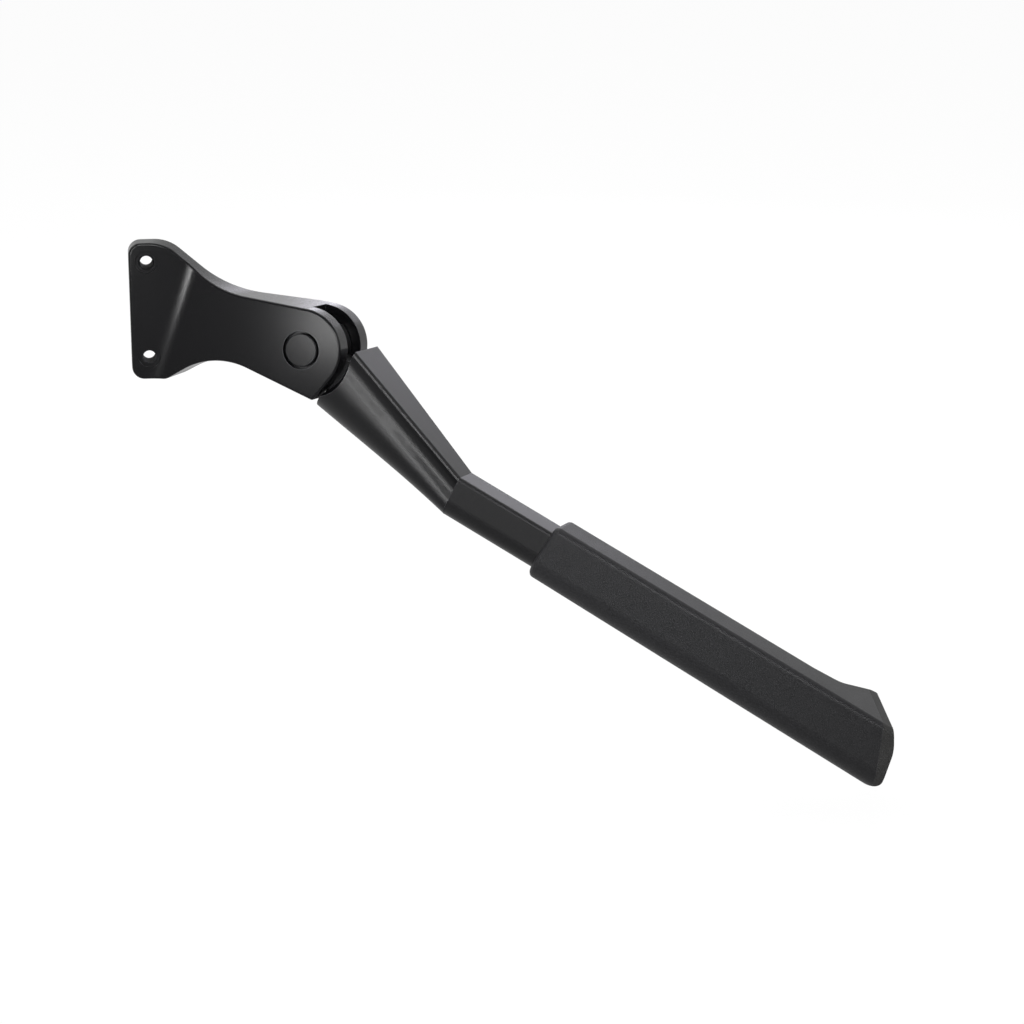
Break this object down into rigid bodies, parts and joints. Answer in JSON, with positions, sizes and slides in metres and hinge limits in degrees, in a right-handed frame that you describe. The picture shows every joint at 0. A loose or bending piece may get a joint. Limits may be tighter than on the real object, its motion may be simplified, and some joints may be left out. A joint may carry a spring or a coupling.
{
  "type": "bicycle kickstand",
  "caption": "Bolt-on bicycle rear kickstand: plate bracket with a skewed forked pivot, a folding fluted leg and a length-adjustable plastic foot with a rubber sole.",
  "frame": {"origin": "middle of the two bolt holes, on the plate's back face that lies against the bicycle", "axes": "+X from the plate towards the leg (down, when fitted), +Y out of the back face towards the wheel, +Z along the line of the two holes"},
  "size_m": [0.2956, 0.1545, 0.1999],
  "materials": {
    "black_paint": "satin",
    "foot_plastic": "fine grain",
    "sole_rubber": "matte",
    "bearing_plastic": "smooth",
    "steel": "zinc plated",
    "insert_brass": "turned"
  },
  "bodies": {
    "stand_bracket": {"bracket": "black_paint", "pivot_pin": "black_paint", "pin_washer": "steel", "retaining_ring": "steel", "detent_spring": "steel"},
    "stand_leg": {"leg": "black_paint", "eye_bush": "bearing_plastic", "thrust_washer_front": "bearing_plastic", "thrust_washer_back": "bearing_plastic"},
    "foot": {"sleeve": "foot_plastic", "sole_pad": "sole_rubber", "clamp_insert": "insert_brass", "clamp_screw": "steel"},
    "plunger": {"detent_plunger": "steel"}
  },
  "joints": [
    {"name": "leg_fold", "type": "hinge", "parent": "stand_bracket", "child": "stand_leg", "pos_m": [0.06846, -0.01838, -0.01557], "axis": [-0.4214, -0.8956, 0.1426], "range_deg": [0, 98]},
    {"name": "foot_slide", "type": "slide", "parent": "stand_leg", "child": "foot", "axis": [0.7882, -0.4395, -0.4308], "range_m": [-0.02, 0.025]},
    {"name": "detent_push", "type": "slide", "parent": "stand_bracket", "child": "plunger", "axis": [0.9048, -0.4258, 0], "range_m": [0, 0.0025], "deforming": ["detent_spring"]}
  ]
}
